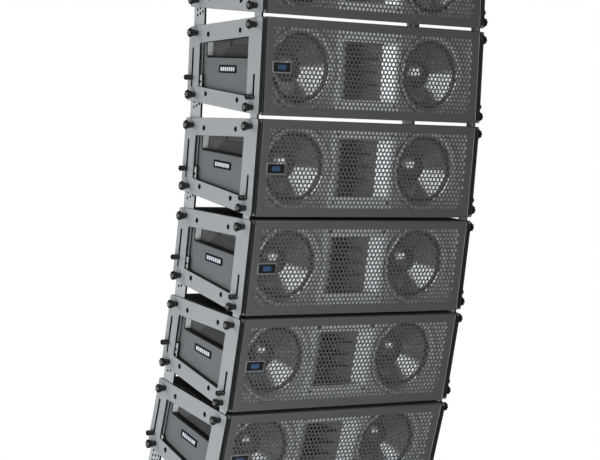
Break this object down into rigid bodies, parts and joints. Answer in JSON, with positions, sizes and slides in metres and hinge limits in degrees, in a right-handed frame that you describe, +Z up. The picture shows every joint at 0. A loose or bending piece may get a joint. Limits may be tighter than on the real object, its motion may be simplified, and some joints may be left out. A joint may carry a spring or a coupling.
{
  "type": "line array speaker",
  "caption": "Hanging curved column of identical two-way loudspeaker cabinets, joined by rigging frames with splay hinges and sliding rear links.",
  "frame": {"origin": "centre of the top cabinet's four upper rigging pins, where the array hangs from its flying bar", "axes": "+Z up, +X to the right seen from the audience, +Y from the grilles to the rear"},
  "size_m": [0.765, 0.588, 1.5136],
  "materials": {
    "enclosure": "fine textured protective coating, charcoal grey",
    "grille": "satin dark grey powder coat on perforated steel",
    "frame": "light grey satin paint on steel plate, dark cut edges",
    "woofer": "black coated cone, glossy surround and dust cap",
    "horn": "grey moulded plastic",
    "amplifier": "black anodised heat sink and panel",
    "link": "light grey satin paint on steel plate, dark cut edges"
  },
  "bodies": {
    "cabinet_1": {"cabinet_1_enclosure": "enclosure", "cabinet_1_grille": "grille", "cabinet_1_frame_left": "frame", "cabinet_1_frame_right": "frame", "cabinet_1_woofer_left": "woofer", "cabinet_1_woofer_right": "woofer", "cabinet_1_horn": "horn", "cabinet_1_amplifier": "amplifier"},
    "cabinet_2": {"cabinet_2_enclosure": "enclosure", "cabinet_2_grille": "grille", "cabinet_2_frame_left": "frame", "cabinet_2_frame_right": "frame", "cabinet_2_woofer_left": "woofer", "cabinet_2_woofer_right": "woofer", "cabinet_2_horn": "horn", "cabinet_2_amplifier": "amplifier"},
    "cabinet_3": {"cabinet_3_enclosure": "enclosure", "cabinet_3_grille": "grille", "cabinet_3_frame_left": "frame", "cabinet_3_frame_right": "frame", "cabinet_3_woofer_left": "woofer", "cabinet_3_woofer_right": "woofer", "cabinet_3_horn": "horn", "cabinet_3_amplifier": "amplifier"},
    "cabinet_4": {"cabinet_4_enclosure": "enclosure", "cabinet_4_grille": "grille", "cabinet_4_frame_left": "frame", "cabinet_4_frame_right": "frame", "cabinet_4_woofer_left": "woofer", "cabinet_4_woofer_right": "woofer", "cabinet_4_horn": "horn", "cabinet_4_amplifier": "amplifier"},
    "cabinet_5": {"cabinet_5_enclosure": "enclosure", "cabinet_5_grille": "grille", "cabinet_5_frame_left": "frame", "cabinet_5_frame_right": "frame", "cabinet_5_woofer_left": "woofer", "cabinet_5_woofer_right": "woofer", "cabinet_5_horn": "horn", "cabinet_5_amplifier": "amplifier"},
    "cabinet_6": {"cabinet_6_enclosure": "enclosure", "cabinet_6_grille": "grille", "cabinet_6_frame_left": "frame", "cabinet_6_frame_right": "frame", "cabinet_6_woofer_left": "woofer", "cabinet_6_woofer_right": "woofer", "cabinet_6_horn": "horn", "cabinet_6_amplifier": "amplifier"},
    "rear_links_1": {"cabinet_1_rear_link_left": "link", "cabinet_1_rear_link_right": "link"},
    "rear_links_2": {"cabinet_2_rear_link_left": "link", "cabinet_2_rear_link_right": "link"},
    "rear_links_3": {"cabinet_3_rear_link_left": "link", "cabinet_3_rear_link_right": "link"},
    "rear_links_4": {"cabinet_4_rear_link_left": "link", "cabinet_4_rear_link_right": "link"},
    "rear_links_5": {"cabinet_5_rear_link_left": "link", "cabinet_5_rear_link_right": "link"},
    "rear_links_6": {"cabinet_6_rear_link_left": "link", "cabinet_6_rear_link_right": "link"}
  },
  "joints": [
    {"name": "splay_2", "type": "hinge", "parent": "cabinet_1", "child": "cabinet_2", "pos_m": [0, -0.12311, -0.2465], "axis": [1, 0, 0], "range_deg": [-1.9, 9.1]},
    {"name": "splay_3", "type": "hinge", "parent": "cabinet_2", "child": "cabinet_3", "pos_m": [0, -0.10252, -0.49691], "axis": [1, 0, 0], "range_deg": [-3.1, 7.9]},
    {"name": "splay_4", "type": "hinge", "parent": "cabinet_3", "child": "cabinet_4", "pos_m": [0, -0.06842, -0.74583], "axis": [1, 0, 0], "range_deg": [-3.1, 7.9]},
    {"name": "splay_5", "type": "hinge", "parent": "cabinet_4", "child": "cabinet_5", "pos_m": [0, -0.02091, -0.99255], "axis": [1, 0, 0], "range_deg": [-3.5, 7.5]},
    {"name": "splay_6", "type": "hinge", "parent": "cabinet_5", "child": "cabinet_6", "pos_m": [0, 0.04157, -1.2359], "axis": [1, 0, 0], "range_deg": [-4.3, 6.7]},
    {"name": "link_slide_1", "type": "slide", "parent": "cabinet_1", "child": "rear_links_1", "axis": [0, -0.0489, 0.9988], "range_m": [-0.0091, 0.043]},
    {"name": "link_slide_2", "type": "slide", "parent": "cabinet_2", "child": "rear_links_2", "axis": [0, -0.0819, 0.9966], "range_m": [-0.0148, 0.0374]},
    {"name": "link_slide_3", "type": "slide", "parent": "cabinet_3", "child": "rear_links_3", "axis": [0, -0.1357, 0.9907], "range_m": [-0.0148, 0.0374]},
    {"name": "link_slide_4", "type": "slide", "parent": "cabinet_4", "child": "rear_links_4", "axis": [0, -0.1891, 0.982], "range_m": [-0.0166, 0.0355]},
    {"name": "link_slide_5", "type": "slide", "parent": "cabinet_5", "child": "rear_links_5", "axis": [0, -0.2487, 0.9686], "range_m": [-0.0204, 0.0317]},
    {"name": "link_slide_6", "type": "slide", "parent": "cabinet_6", "child": "rear_links_6", "axis": [0, -0.3206, 0.9472], "range_m": [0, 0.088]}
  ],
  "couplings": [
    {"joint": "link_slide_1", "follows": "splay_2", "m_per_rad": 0.27},
    {"joint": "link_slide_2", "follows": "splay_3", "m_per_rad": 0.27},
    {"joint": "link_slide_3", "follows": "splay_4", "m_per_rad": 0.27},
    {"joint": "link_slide_4", "follows": "splay_5", "m_per_rad": 0.27},
    {"joint": "link_slide_5", "follows": "splay_6", "m_per_rad": 0.27}
  ]
}
